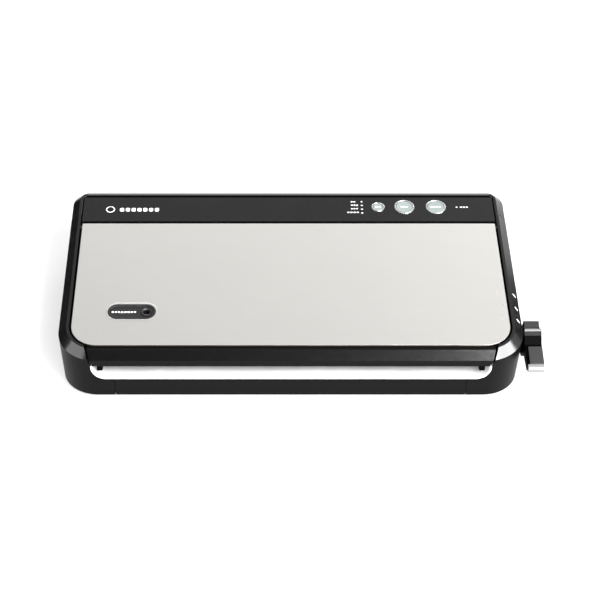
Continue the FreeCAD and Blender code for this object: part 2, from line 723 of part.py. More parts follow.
def build_liner():
    """Inner panel of the lid, with the bag stops that hang at the ends of the mouth."""
    low = D["liner_z"]
    full = slab("liner_block", liner_plan(0), low, 80)
    under = prism("liner_under_lid", "YZ", [(0, 0), (170, 0), (170, top_z(170, 10.4)), (0, top_z(0, 10.4))],
                  -200, 200)
    tub = common("liner_tub", full, under)
    room = slab("liner_room", liner_plan(2.0), low + 2.0, 90)
    hose = rod("liner_port_hole", "Z", 2.2, 0, 60, (D["socket_x"], 72))
    part("lid_liner", cut("lid_liner", tub, room, hose))
    stops = both_sides("bag_stops", lambda name, sign: fuse(
        name, box(f"{name}_tab", mirrored(sign, 160.6, 165.6), (D["front_y"] + 3.0, 13.2), (30.2, 37.4)),
        box(f"{name}_neck", mirrored(sign, 160.6, 165.6), (D["front_y"] + 3.0, 6), (37.4, 42.8))))
    part("bag_stops", stops, solids=2)
    part("upper_gasket", gasket("upper_gasket", low - 2.1, low))
    part("pressure_bar", box("pressure_bar", (-(D["seal_half"] - 1), D["seal_half"] - 1),
                             (D["seal_front"] + 0.5, D["seal_rear"] - 0.5), (low - 2.7, low)))

    def catch(name, sign):
        """Plate that hangs through the deck slot, with the cross pin that the hook draws down."""
        x = mirrored(sign, D["hook_x"] - 3.4, D["hook_x"] - 0.8)
        pin = mirrored(sign, D["hook_x"] - 3.4, D["hook_x"] + D["hook_sheet"] + 0.3)
        return fuse(name, box(f"{name}_plate", x, (50.4, 55.6), (22.4, low)),
                    rod(f"{name}_pin", "X", 1.2, *pin, (D["lever_y"] + 5.37, D["lever_z"] + 3.1)))
    part("latch_catches", both_sides("latch_catches", catch), solids=2)


def port_form(name, grow, low, high):
    """Stadium-shaped prism square to the top plane, for the accessory port."""
    half_long, half_wide = D["port_long"] / 2 + grow, D["port_wide"] / 2 + grow
    made = slab(name, rectangle((-half_long, half_long), (-half_wide, half_wide), half_wide - 0.05),
                low, high)
    return tilt(made, D["port_x"], D["port_y"])


def build_port():
    """Accessory port: oval escutcheon, hose socket and the tube down to the lid's inner panel."""
    sunk = port_form("port_dish", -1.6, -0.7, 5)
    plate = port_form("port_disc", 0, -1.8, 0.25)
    hole = tilt(rod("port_plate_hole", "Z", 4.9, -10, 10, (0, 0)), D["socket_x"], D["port_y"])
    part("port_plate", cut("port_plate", plate, sunk, hole))
    collar = tilt(rod("socket_collar", "Z", 4.7, -1.8, 0.6, (0, 0)), D["socket_x"], D["port_y"])
    stem = tilt(rod("socket_stem", "Z", 3.8, -9.0, -1.8, (0, 0)), D["socket_x"], D["port_y"])
    bore = tilt(rod("socket_bore", "Z", 2.6, -12, 5, (0, 0)), D["socket_x"], D["port_y"])
    part("port_socket", cut("port_socket", fuse("socket_body", collar, stem), bore))


# ---------------------------------------------------------------- latch lever

def build_lever():
    x0, x1 = D["lever_x"], D["lever_x"] + D["lever_width"]
    arm = prism("lever_arm_outline", "YZ", [
        (47.5, 46.0), (43.6, 49.0), (39.4, 44.3), (38.3, 45.2), (36.3, 43.9), (34.2, 40.8),
        (28.6, 35.2), (26.8, 34.9), (26.8, 33.6), (8.8, 29.2), (8.8, 23.4), (30, 24.5), (37, 14.5),
        (47, 11.5), (55.5, 15.5), (56.5, 24.0), (52.0, 34.0)], x0, x1)
    block_side = box("lever_block_trim", (x1 - 2.0, x1 + 5), (39.3, 70), (40, 60))
    shaft_line = (D["lever_y"], D["lever_z"])
    hub = rod("lever_hub", "X", 9.0, D["half_width"] + 0.8, x0, shaft_line)
    core = fuse("lever_core", arm, hub)
    socket = rod("lever_shaft_hole", "X", D["shaft"] + 0.02, 190, D["lever_x"] + 6, shaft_line)
    recess = rod("lever_screw_recess", "X", 3.4, x1 - 2.5, x1 + 5, shaft_line)
    screw_way = rod("lever_screw_way", "X", 1.7, 200, x1, shaft_line)
    part("lever_arm", cut("lever_arm", core, block_side, socket, recess, screw_way))
    part("lever_grip_pad", prism("lever_grip_pad", "YZ", [
        (26.6, 33.65), (26.6, 35.2), (8.8, 30.8), (8.8, 29.3)], x0 + 2.6, x1 + 0.2))
    part("lever_end_cap", prism("lever_end_cap", "YZ", [
        (8.7, 23.2), (8.7, 31.0), (5.2, 30.0), (4.2, 28.4), (4.4, 25.0), (5.8, 23.4)], x0 + 0.6, x1 + 0.2))
    part("lever_screw", fuse("lever_screw", rod("lever_screw_head", "X", 3.1, x1 - 2.4, x1 - 0.6, shaft_line),
                             rod("lever_screw_shank", "X", 1.5, x1 - 12, x1 - 2.4, shaft_line)))
    shaft = rod("latch_rod", "X", D["shaft"], -187.5, D["lever_x"] + 5.6, shaft_line)
    tapped = rod("latch_rod_bore", "X", 1.55, x1 - 12.4, 260, shaft_line)
    part("latch_shaft", cut("latch_shaft", shaft, tapped))
    part("latch_hooks", both_sides("latch_hooks", build_hook), solids=2)
    sleeve = fuse("bushing_body", rod("bushing_sleeve", "X", 5.8, 194.6, 200.2, shaft_line),
                  rod("bushing_flange", "X", 6.8, 192.6, 194.6, shaft_line))
    part("shaft_bushing", cut("shaft_bushing", sleeve, rod(
        "bushing_bore", "X", D["shaft"] + D["running"], 180, 210, shaft_line)))


def build_hook(name, sign):
    """Hub with a web and a curved finger, swept as sectors about the shaft."""
    x = mirrored(sign, D["hook_x"], D["hook_x"] + D["hook_sheet"])

    def sector(label, inner, outer, first, last):
        """Ring sector about the shaft; angles are from straight up towards the back."""
        owner = body(f"{name}_{label}")
        steps = 6
        ring = []
        for radius, order in ((outer, range(steps + 1)), (inner, range(steps, -1, -1))):
            for i in order:
                angle = math.radians(first + (last - first) * i / steps)
                ring.append((D["lever_y"] + radius * math.sin(angle),
                             D["lever_z"] + radius * math.cos(angle)))
        sketch = add_sketch(owner, f"{name}_{label}_outline", "YZ", x[0])
        polygon(sketch, ring)
        pad(owner, sketch, x[1] - x[0])
        return owner

    shaft_line = (D["lever_y"], D["lever_z"])
    hub = fuse(f"{name}_body", rod(f"{name}_hub", "X", 4.4, *x, shaft_line),
               sector("web", 3.6, 8.4, -36, -18), sector("finger", 7.8, 10.7, -36, 8))
    return cut(name, hub, rod(f"{name}_bore", "X", D["shaft"], x[0] - 5, x[1] + 5, shaft_line))


# ---------------------------------------------------------------- control panel

def button_places():
    return (("small", D["button_small_x"], D["button_small"]),
            ("left", D["button_left_x"], D["button_big"]),
            ("right", D["button_right_x"], D["button_big"]))


LAMP_PLACES = ((68.0, 186.6), (68.0, 181.5), (68.0, 176.5), (68.0, 171.5), (155.5, 179.2))


def build_panel():
    y = (D["panel_front"], D["panel_rear"])
    sheet = top_layer("panel_sheet", y[0], y[1], 0, D["panel_sheet"] - 0.1)
    panel = common("panel_blank", sheet, box(
        "panel_region", (-D["panel_half"], D["panel_half"]), (100, 240), (0, 120)))
    y_row = D["button_y"]
    tools = [tilt(rod(f"panel_{name}_hole", "Z", radius + D["bezel"] + 0.35, -10, 10, (0, 0)), x, y_row)
             for name, x, radius in button_places()]
    tools += [tilt(rod(f"panel_lamp_hole_{i}", "Z", 1.05, -10, 10, (0, 0)), x, y)
              for i, (x, y) in enumerate(LAMP_PLACES)]
    part("control_panel", cut("control_panel", panel, *tools))

    bezels = []
    for name, x, radius in button_places():
        outside = radius + D["bezel"] + D["button_gap"]
        ring = tilt(rod(f"{name}_bezel_outer", "Z", outside, -3.2, 0.55, (0, 0)), x, y_row)
        hole = tilt(rod(f"{name}_bezel_inner", "Z", radius + D["button_gap"], -8, 8, (0, 0)), x, y_row)
        bezels.append(cut(f"{name}_bezel", ring, hole))
        cap = rod(f"{name}_cap", "Z", radius, -6.4, 0.5, (0, 0))
        flange = rod(f"{name}_flange", "Z", radius + 0.9, -6.4, -5.0, (0, 0))
        part(f"{name}_button", tilt(fuse(f"{name}_button", cap, flange), x, y_row))
    part("button_bezels", fuse("button_bezels", *bezels), solids=3)

    lamps = [tilt(rod(f"lamp_{i}", "Z", 1.0, -4.5, 0.1, (0, 0)), x, y)
             for i, (x, y) in enumerate(LAMP_PLACES)]
    part("indicator_lamps", fuse("indicator_lamps", *lamps), solids=len(LAMP_PLACES))

    board = tilt(box("display_board", (-50, 52), (-11, 11), (-13.4, -11.8)), 112, 178.5)
    part("display_board", board)
    switches = [tilt(fuse(f"switch_{name}", box(f"switch_case_{name}", (-3, 3), (-3, 3), (-11.8, -8.3)),
                          rod(f"switch_plunger_{name}", "Z", 1.6, -8.3, -7.7, (0, 0))), x, y_row)
                for name, x, radius in button_places()]
    part("button_switches", fuse("button_switches", *switches), solids=3)


# ---------------------------------------------------------------- pump, transformer and electrics

def build_pump():
    """Motor with a loose rotor, its eccentric, and the pump head beside it."""
    line = (D["motor_y"], D["motor_z"])
    radius = D["motor"]
    can = rod("motor_can", "X", radius, -70, -24, line)
    room = rod("motor_room", "X", radius - 1.6, -68.4, -25.6, line)
    way = rod("motor_shaft_way", "X", 1.7, -75, -10, line)
    part("motor_case", cut("motor_case", can, room, way))
    part("motor_rotor", fuse("motor_rotor", rod("rotor_core", "X", radius - 3.0, -62, -34, line),
                             rod("rotor_shaft", "X", 1.6, -67, -9.4, line)))
    wheel = rod("eccentric_wheel", "X", 7.5, -21, -16.5, line)
    crank = rod("eccentric_pin", "X", 2.2, -16.5, -11.4, (D["motor_y"], D["motor_z"] + 2.0))
    axle = rod("eccentric_bore", "X", 1.6, -30, 0, line)
    part("pump_eccentric", cut("pump_eccentric", fuse("eccentric_body", wheel, crank), axle))
    ring = rod("link_ring", "X", 8.0, -15.6, -12.4, line)
    stem = box("link_stem", (-15.6, -12.4), (D["motor_y"] - 2.5, D["motor_y"] + 2.5),
               (D["motor_z"] + 6.5, D["motor_z"] + 15.0))
    part("pump_link", cut("pump_link", fuse("link_body", ring, stem),
                          rod("link_hole", "X", 5.2, -20, 0, line)))
    part("pump_diaphragm", rod("pump_diaphragm", "Z", 11.0, D["motor_z"] + 15.0, D["motor_z"] + 16.8,
                               (-14, D["motor_y"])))
    head = rod("head_drum", "Z", 12.0, D["motor_z"] + 16.8, D["motor_z"] + 28.0, (-14, D["motor_y"]))
    chamber = rod("head_chamber", "Z", 9.0, D["motor_z"] + 10, D["motor_z"] + 25.0, (-14, D["motor_y"]))
    spigots = [rod(f"head_spigot_{i}", "X", D["spigot"], -6, 5, (y, D["head_z"]))
               for i, y in enumerate((D["valve_y"], D["valve_y"] + 10))]
    part("pump_head", cut("pump_head", fuse("head_body", head, *spigots), chamber))
    frame_legs = [box(f"pump_leg_{i}", (x, x + 2), (D["motor_y"] - 14, D["motor_y"] + 14),
                      (D["floor_z"] + 2.7, D["motor_z"] + 15.0)) for i, x in enumerate((-24, -4))]
    foot = box("pump_foot", (-24, -2), (D["motor_y"] - 14, D["motor_y"] + 14),
               (D["floor_z"] + 2.7, D["floor_z"] + 5.0))
    opening = rod("pump_leg_hole", "X", 8.6, -30, 5, line)
    part("pump_bracket", cut("pump_bracket", fuse("bracket_body", foot, *frame_legs), opening))
    part("motor_strap", cut("motor_strap", box(
        "strap_block", (-60, -52), (D["motor_y"] - 17, D["motor_y"] + 17),
        (D["floor_z"] + 2.7, D["motor_z"] + 2)), rod("strap_hole", "X", radius, -80, 0, line)))


def filleted_path(points, bend):
    """Wire of straight runs with a tangent arc at each inner point."""
    edges = []
    start = points[0]
    for before, corner, after in zip(points, points[1:], points[2:]):
        into = (corner - before).normalize()
        out = (after - corner).normalize()
        turn = into.getAngle(out)
        if turn < 1e-6:
            continue
        setback = bend * math.tan(turn / 2)
        first, last = corner - into * setback, corner + out * setback
        middle_way = (out - into).normalize()
        centre = corner + middle_way * (bend / math.cos(turn / 2))
        middle = centre - middle_way * bend
        edges.append(Part.LineSegment(start, first).toShape())
        edges.append(Part.Arc(first, middle, last).toShape())
        start = last
    edges.append(Part.LineSegment(start, points[-1]).toShape())
    return Part.Wire(edges)


def tube(name, points, outer, inner, bend):
    """Part::Feature hose along a filleted path."""
    path = filleted_path(points, bend)
    tangent = (points[1] - points[0]).normalize()
    solids = []
    for radius in (outer, inner):
        profile = Part.Wire([Part.Circle(points[0], tangent, radius).toShape()])
        solids.append(path.makePipeShell([profile], True, False))
    made = DOC.addObject("Part::Feature", name)
    made.Shape = solids[0].cut(solids[1])
    return made


def spot(x, y, z):
    return Vector(*(as_size(value).value for value in (x, y, z)))


def build_tubes():
    """Tubes from the trough to the release valve, on to the pump, and from the port into the lid."""
    outer, inner = 3.4, D["spigot"].value + 0.05
    hose_x, hose_z, valve_x = D["trough_hose_x"], D["trough_z"] + 5, D["valve_x"]
    part("suction_tube", tube("suction_tube", [
        spot(hose_x, 88.6, hose_z), spot(hose_x, 118, hose_z),
        spot(valve_x, 140, D["valve_z"]), spot(valve_x, 167, D["valve_z"])], outer, inner, 12))
    part("pump_tube", tube("pump_tube", [
        spot(-1, D["valve_y"], D["head_z"]), spot(valve_x, D["valve_y"], D["head_z"]),
        spot(valve_x, D["valve_y"], D["valve_z"] + 9)], outer, inner, 8))
    stem_y, stem_z = D["port_y"] + 0.9, top_z(D["port_y"], 9.8)
    part("port_tube", tube("port_tube", [
        spot(D["socket_x"], stem_y, stem_z), spot(D["socket_x"], stem_y, 40.6),
        spot(D["socket_x"], 72, 40.6), spot(D["socket_x"], 72, D["liner_z"] + 2.1)], 2.8, 2.0, 4.5))


def build_electrics():
    y = (167.0, 201.0)
    floor = D["floor_z"] + 2.7
    core = box("core_block", (52, 92), (y[0] + 2, y[1] - 3), (floor, floor + 34))
    window = box("core_window", (60, 84), (0, 300), (floor + 8, floor + 26))
    leg = box("core_leg", (67, 77), (y[0] + 2, y[1] - 3), (floor + 7, floor + 27))
    part("transformer_core", fuse("transformer_core", cut("core_frame", core, window), leg))
    coil = box("coil_block", (60.4, 83.6), (y[0] - 2, y[1] - 0.6), (floor + 8.3, floor + 25.7))
    slot = box("coil_slot", (66.7, 77.3), (0, 300), (floor + 6, floor + 28))
    part("transformer_winding", fuse("transformer_winding", cut("coil_sides", coil, slot)), solids=2)
    part("circuit_board", box("circuit_board", (-178, -84), (164, 200), (floor + 6, floor + 7.6)))
    top = floor + 7.6
    blocks = [box("relay", (-170, -151), (170, 186), (top, top + 15)),
              box("controller", (-140, -124), (172, 188), (top, top + 2.4)),
              rod("capacitor_big", "Z", 7.0, top, top + 24, (-104, 184)),
              rod("capacitor_small", "Z", 4.0, top, top + 14, (-118, 192)),
              box("terminal_block", (-148, -128), (190, 199), (top, top + 10))]
    part("board_components", fuse("board_components", *blocks), solids=len(blocks))
    posts = [rod(f"board_post_{i}", "Z", 3.0, floor, floor + 6, (x, yy))
             for i, (x, yy) in enumerate(((-174, 168), (-174, 196), (-88, 168), (-88, 196)))]
    part("board_posts", fuse("board_posts", *posts), solids=4)
    x, y = D["valve_x"], D["valve_y"]
    part("release_valve", fuse(
        "release_valve", box("valve_block", (x - 9, x + 9), (y - 9, y + 9), (floor, floor + 20)),
        rod("valve_front_spigot", "Y", D["spigot"], y - 18, y - 8, (x, D["valve_z"])),
        rod("valve_top_spigot", "Z", D["spigot"], floor + 19, floor + 28, (x, y))))
    part("latch_switch", fuse("latch_switch",
                              box("latch_switch_case", (-164.5, -158), (63, 83), (8, 18)),
                              box("latch_switch_tongue", (-162, -160.5), (56.5, 64), (14.5, 15.3))))


# ---------------------------------------------------------------- checks and files

def check_document():
    """Stops if any feature failed or a sub-part is empty, broken or in the wrong number of solids."""
    DOC.recompute()
    failed = [o.Name for o in DOC.Objects if {"Invalid", "Error"} & set(o.State)]
    if failed:
        raise RuntimeError(f"features failed: {failed}")
    for node, (made, solids) in PARTS.items():
        shape = made.Shape
        if shape.isNull() or not shape.isValid():
            raise RuntimeError(f"{node}: bad shape")
        if len(shape.Solids) != solids:
            raise RuntimeError(f"{node}: {len(shape.Solids)} solids, expected {solids}")


def write_files():
    os.makedirs("parts", exist_ok=True)
    for node, (made, _) in PARTS.items():
        shape = made.Shape.copy()
        shape.translate(Vector(-D["middle_x"].value, -D["middle_y"].value, 0))
        shape.exportStep(f"parts/{node}.step")


build_casing()
build_deck()
build_bag_tray()
build_seal_bar()
build_channel()
build_lid()
build_lever()
build_panel()
build_pump()
build_tubes()
build_electrics()
check_document()
write_files()
print(f"{len(PARTS)} sub-parts written")
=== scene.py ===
"""Vacuum sealer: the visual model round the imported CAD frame.

Metres, +Z up; the bag mouth faces -Y, the control panel is at the back and the latch lever is on the +X side.
Each outer CAD node is replaced by a piece made from it, with rounded edges and worn, grained finishes. The
inner nodes keep their shape and get their materials here.
"""
import json
import math

import bmesh
import bpy
from mathutils import Matrix, Vector

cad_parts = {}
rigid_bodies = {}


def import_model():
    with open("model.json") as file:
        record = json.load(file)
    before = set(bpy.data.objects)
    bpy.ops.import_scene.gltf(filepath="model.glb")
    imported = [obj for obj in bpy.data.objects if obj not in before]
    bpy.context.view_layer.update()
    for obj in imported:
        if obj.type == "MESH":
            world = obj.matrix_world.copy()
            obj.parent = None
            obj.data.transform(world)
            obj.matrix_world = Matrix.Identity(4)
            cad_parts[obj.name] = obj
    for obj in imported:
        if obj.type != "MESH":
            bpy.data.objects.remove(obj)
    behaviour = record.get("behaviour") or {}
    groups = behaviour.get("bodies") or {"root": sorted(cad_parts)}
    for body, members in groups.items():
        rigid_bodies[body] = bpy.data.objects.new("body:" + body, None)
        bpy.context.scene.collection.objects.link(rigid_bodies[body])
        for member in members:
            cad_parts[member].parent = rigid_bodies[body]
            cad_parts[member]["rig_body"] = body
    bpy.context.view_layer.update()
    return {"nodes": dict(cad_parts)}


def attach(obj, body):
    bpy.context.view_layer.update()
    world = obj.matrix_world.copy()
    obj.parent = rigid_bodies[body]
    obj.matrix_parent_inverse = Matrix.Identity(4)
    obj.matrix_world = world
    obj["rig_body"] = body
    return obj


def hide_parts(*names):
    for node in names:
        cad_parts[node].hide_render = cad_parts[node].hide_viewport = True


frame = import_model()
NODES = frame["nodes"]
MM = 0.001

# The sloping top plane, as the CAD has it: its front edge, and its rise for each millimetre back.
TOP_FRONT_Y = -93.5 * MM
TOP_FRONT_Z = 51.8 * MM
TOP_RISE = 0.11624
TOP_ANGLE = math.atan(TOP_RISE)


# ---------------------------------------------------------------- camera, floor and light

CAMERA_PLACE = (-0.03735, -1.077, 0.927)
CAMERA_TILT = 50                    # degrees up from looking straight down
LIT_POINT = Vector((0, 0, 0.04))    # what every light faces
# Each light has a direction from the lit point, a distance, its size along and across, a radiance, and the
# direction of its long side.
LIGHTS = {
    # A faint fill.
    "light_sky": ((0.55, 0.60, 0.80), 2.2, (1.6, 1.2), 0.2, (1, 0, 0)),
    # The bright shine on the right front corner.
    "light_right": ((0.60, -0.515, 0.61), 2.0, (2.7, 0.55), 15.0, (0.75, 0.60, -0.23)),
    # The right end of the lid's front strip.
    "light_strip": ((0.40, -0.53, 0.75), 2.0, (0.6, 0.7), 28.0, (1, 0, 0)),
    # The grey shine on the left front corner.
    "light_left": ((-0.76, -0.33, 0.56), 2.0, (1.35, 0.45), 3.0, (0.47, -0.59, 0.19)),
    # The steel and the rear edge.
    "light_back": ((0.25, 1.0, 0.30), 2.4, (3.0, 1.3), 3.5, (1, 0, 0)),
    # The bag mouth and the front wall.
    "light_front": ((0.0, -1.0, 0.15), 2.2, (2.6, 0.5), 22.0, (1, 0, 0)),
}
FLOOR_HALF = 6
FLOOR_SHADE, FLOOR_GLOW = 0.5, 0.5
# Dark cards stand beside the object: x, and the two ends in y. The polished shoulders mirror them.
CARDS = {"dark_card_left": (-0.45, (-0.3, 1.2)), "dark_card_right": (0.62, (-0.1, 0.42))}
CARD_SHADE = 0.01
CARD_FOOT, CARD_TOP = 0.001, 0.15
# The surroundings grow brighter along this direction, between two cosines to it and two strengths.
SKY_AIM = (0.5, 0.87, 0.0)
SKY_COSINES = (-0.65, 0.75)
SKY_STRENGTHS = (0.22, 0.82)


def add_camera():
    """Looks down on the front of the object; the shift moves the picture, not the view."""
    data = bpy.data.cameras.new("camera")
    data.lens = 93
    data.sensor_width = 36
    data.shift_x = 0.0708
    data.clip_start, data.clip_end = 0.01, 50
    camera = bpy.data.objects.new("camera", data)
    camera.location = CAMERA_PLACE
    camera.rotation_euler = (math.radians(CAMERA_TILT), 0, 0)
    bpy.context.scene.collection.objects.link(camera)
    bpy.context.scene.camera = camera


def add_softbox(name, towards, distance, size, radiance, along):
    """Area light in direction "towards" from the lit point, facing it, with its long side near "along"."""
    back = Vector(towards).normalized()
    side = (Vector(along) - back * Vector(along).dot(back)).normalized()
    turn = Matrix((side, back.cross(side), back)).transposed()
    data = bpy.data.lights.new(name, "AREA")
    data.shape = "RECTANGLE"
    data.size, data.size_y = size
    data.energy = radiance * math.pi * size[0] * size[1]
    light = bpy.data.objects.new(name, data)
    light.matrix_world = Matrix.Translation(LIT_POINT + back * distance) @ turn.to_4x4()
    light.visible_camera = False
    bpy.context.scene.collection.objects.link(light)


def add_world():
    """Pale surroundings, brightest at the back and right and dim at the front and left."""
    world = bpy.data.worlds.new("studio")
    world.use_nodes = True
    tree = world.node_tree
    place = tree.nodes.new("ShaderNodeTexCoord")
    aim = tree.nodes.new("ShaderNodeVectorMath")
    aim.operation = "DOT_PRODUCT"
    aim.inputs[1].default_value = SKY_AIM
    glow = tree.nodes.new("ShaderNodeMapRange")
    glow.interpolation_type = "SMOOTHSTEP"
    glow.inputs["From Min"].default_value, glow.inputs["From Max"].default_value = SKY_COSINES
    glow.inputs["To Min"].default_value, glow.inputs["To Max"].default_value = SKY_STRENGTHS
    tree.links.new(place.outputs["Generated"], aim.inputs[0])
    tree.links.new(aim.outputs["Value"], glow.inputs["Value"])
    tree.links.new(glow.outputs["Result"], tree.nodes["Background"].inputs["Strength"])
    tree.nodes["Background"].inputs["Color"].default_value = (1, 1, 1, 1)
    bpy.context.scene.world = world


def add_sheet(name, corners, shade, glow=0.0):
    """Flat stage piece: the lit floor, or a dark card beside the object."""
    mesh = bpy.data.meshes.new(name)
    mesh.from_pydata(corners, [], [(0, 1, 2, 3)])
    material = bpy.data.materials.new(name)
    material.use_nodes = True
    shader = material.node_tree.nodes["Principled BSDF"]
    shader.inputs["Base Color"].default_value = (shade, shade, shade, 1)
    shader.inputs["Roughness"].default_value = 0.9
    shader.inputs["Specular IOR Level"].default_value = 0.0
    shader.inputs["Emission Color"].default_value = (1, 1, 1, 1)
    shader.inputs["Emission Strength"].default_value = glow
    mesh.materials.append(material)
    sheet = bpy.data.objects.new(name, mesh)
    bpy.context.scene.collection.objects.link(sheet)
    return sheet


def add_studio():
    bpy.context.scene.view_settings.view_transform = "Standard"
    add_world()
    for name, light in LIGHTS.items():
        add_softbox(name, *light)
    add_sheet("floor", [(x * FLOOR_HALF, y * FLOOR_HALF, 0) for x, y in ((-1, -1), (1, -1), (1, 1), (-1, 1))],
              FLOOR_SHADE, FLOOR_GLOW)
    for name, (x, (front, back)) in CARDS.items():
        card = add_sheet(name, [(x, front, CARD_FOOT), (x, back, CARD_FOOT), (x, back, CARD_TOP),
                                (x, front, CARD_TOP)], CARD_SHADE)
        card.visible_camera = card.visible_shadow = card.visible_diffuse = False


add_camera()
add_studio()


# ---------------------------------------------------------------- materials

# Numbers of the sockets used on Blender's mix node: the factor, the two colours and the mixed colour.
MIX_FACTOR, MIX_FIRST, MIX_SECOND, MIX_RESULT = 0, 6, 7, 2


class Finish:
    """A procedural material: node calls that keep the positions in the object's own metres."""

    def __init__(self, name):
        self.material = bpy.data.materials.new(name)
        self.material.use_nodes = True
        self.tree = self.material.node_tree
        self.shader = self.tree.nodes["Principled BSDF"]
        self.place = self.tree.nodes.new("ShaderNodeTexCoord").outputs["Object"]

    def set(self, **values):
        """Constants for the shader's sockets; an underscore stands for a space."""
        for socket, value in values.items():
            self.shader.inputs[socket.replace("_", " ")].default_value = value

    def drive(self, socket, source):
        """Links the source to the shader's socket; an underscore stands for a space."""
        self.tree.links.new(source, self.shader.inputs[socket.replace("_", " ")])

    def noise(self, size, stretch=(1, 1, 1), detail=2.0, roughness=0.5):
        """Noise whose features are about "size" metres across, drawn out by "stretch"."""
        mapping = self.tree.nodes.new("ShaderNodeMapping")
        mapping.inputs["Scale"].default_value = [1 / s for s in stretch]
        self.tree.links.new(self.place, mapping.inputs["Vector"])
        node = self.tree.nodes.new("ShaderNodeTexNoise")
        node.inputs["Scale"].default_value = 1 / size
        node.inputs["Detail"].default_value = detail
        node.inputs["Roughness"].default_value = roughness
        self.tree.links.new(mapping.outputs["Vector"], node.inputs["Vector"])
        return node.outputs["Fac"]

    def cells(self, size):
        """Round cells about "size" metres apart: 0 at the middle of each."""
        node = self.tree.nodes.new("ShaderNodeTexVoronoi")
        node.inputs["Scale"].default_value = 1 / size
        self.tree.links.new(self.place, node.inputs["Vector"])
        return node.outputs["Distance"]

    def spread(self, factor, low, high, first=0.3, last=0.7):
        """Numbers from low to high as the factor goes from first to last."""
        node = self.tree.nodes.new("ShaderNodeMapRange")
        node.inputs["From Min"].default_value = first
        node.inputs["From Max"].default_value = last
        node.inputs["To Min"].default_value = low
        node.inputs["To Max"].default_value = high
        self.tree.links.new(factor, node.inputs["Value"])
        return node.outputs["Result"]

    def colours(self, factor, *stops):
        """Colour ramp; each stop is (position, colour)."""
        node = self.tree.nodes.new("ShaderNodeValToRGB")
        ramp = node.color_ramp
        while len(ramp.elements) < len(stops):
            ramp.elements.new(0.5)
        for element, (position, colour) in zip(ramp.elements, stops):
            element.position = position
            element.color = (*colour, 1)
        self.tree.links.new(factor, node.inputs["Fac"])
        return node.outputs["Color"]

    def mix(self, factor, first, second):
        """Colour: first where the factor is 0, second where it is 1."""
        node = self.tree.nodes.new("ShaderNodeMix")
        node.data_type = "RGBA"
        for value, socket in ((first, node.inputs[MIX_FIRST]), (second, node.inputs[MIX_SECOND])):
            if isinstance(value, tuple):
                socket.default_value = (*value, 1)
            else:
                self.tree.links.new(value, socket)
        self.tree.links.new(factor, node.inputs[MIX_FACTOR])
        return node.outputs[MIX_RESULT]

    def times(self, first, second):
        node = self.tree.nodes.new("ShaderNodeMath")
        node.operation = "MULTIPLY"
        self.tree.links.new(first, node.inputs[0])
        self.tree.links.new(second, node.inputs[1])
        return node.outputs["Value"]

    def edge(self):
        """1 on the rounded edges that the mesh code made, 0 elsewhere."""
        node = self.tree.nodes.new("ShaderNodeAttribute")
        node.attribute_name = "edge"
        return node.outputs["Fac"]

    def bump(self, height, depth, strength=1.0):
        """Relief of the given depth in metres."""
        node = self.tree.nodes.new("ShaderNodeBump")
        node.inputs["Distance"].default_value = depth
        node.inputs["Strength"].default_value = strength
        self.tree.links.new(height, node.inputs["Height"])
        self.drive("Normal", node.outputs["Normal"])


def shades(colour, share):
    """The colour a share darker and a share paler."""
    return tuple(c * (1 - share) for c in colour), tuple(min(1, c * (1 + share)) for c in colour)


def plastic(name, colour, roughness, grain=0.5 * MM, depth=0.01 * MM, specular=0.5, worn=1.8, spread=0.02):
    """Moulded plastic: a faint mottle, fine grain in the surface and slightly rubbed, paler edges."""
    finish = Finish(name)
    finish.set(Specular_IOR_Level=specular)
    dark, pale = shades(colour, 0.08)
    body = finish.colours(finish.noise(25 * MM, detail=5), (0.3, dark), (0.7, pale))
    rubbed = finish.times(finish.edge(), finish.spread(finish.noise(3 * MM), 0.25, 1.0))
    finish.drive("Base_Color", finish.mix(rubbed, body, tuple(min(1, c * worn + 0.001) for c in colour)))
    sheen = finish.noise(grain * 3, detail=4)
    finish.drive("Roughness", finish.spread(sheen, roughness - spread, roughness + spread))
    finish.bump(finish.noise(grain, detail=3), depth)
    return finish.material


def metal(name, colour, roughness, streak=(60, 1, 1), size=0.35 * MM, depth=0.002 * MM, spread=0.05,
          share=0.04):
    """Bare metal with drawn or brushed streaks."""
    finish = Finish(name)
    finish.set(Metallic=1.0)
    lines = finish.noise(size, streak, detail=3, roughness=0.6)
    clouds = finish.noise(70 * MM, (3, 1, 1), detail=3)
    dark, pale = shades(colour, share)
    shade = finish.colours(lines, (0.25, dark), (0.75, pale))
    finish.drive("Base_Color", finish.mix(finish.spread(clouds, 0.0, 0.5), shade, shades(colour, 0.03)[0]))
    finish.drive("Roughness", finish.spread(lines, roughness - spread, roughness + spread))
    finish.bump(lines, depth)
    return finish.material


def foam(name, colour):
    """Closed-cell foam with open pores at its skin."""
    finish = Finish(name)
    finish.set(Specular_IOR_Level=0.2)
    pores = finish.cells(0.9 * MM)
    finish.drive("Base_Color", finish.colours(pores, (0.1, tuple(c * 0.35 for c in colour)), (0.55, colour)))
    finish.drive("Roughness", finish.spread(pores, 0.95, 0.8))
    finish.bump(pores, 0.25 * MM, 0.7)
    return finish.material


def see_through(name, colour, roughness, weight):
    """Clear flexible tube, slightly clouded."""
    finish = Finish(name)
    finish.set(Transmission_Weight=weight, IOR=1.45)
    cloud = finish.noise(4 * MM)
    finish.drive("Base_Color", finish.colours(cloud, (0.3, colour), (0.7, shades(colour, 0.1)[0])))
    finish.drive("Roughness", finish.spread(cloud, roughness - 0.05, roughness + 0.08))
    finish.bump(finish.noise(1.2 * MM), 0.01 * MM)
    return finish.material


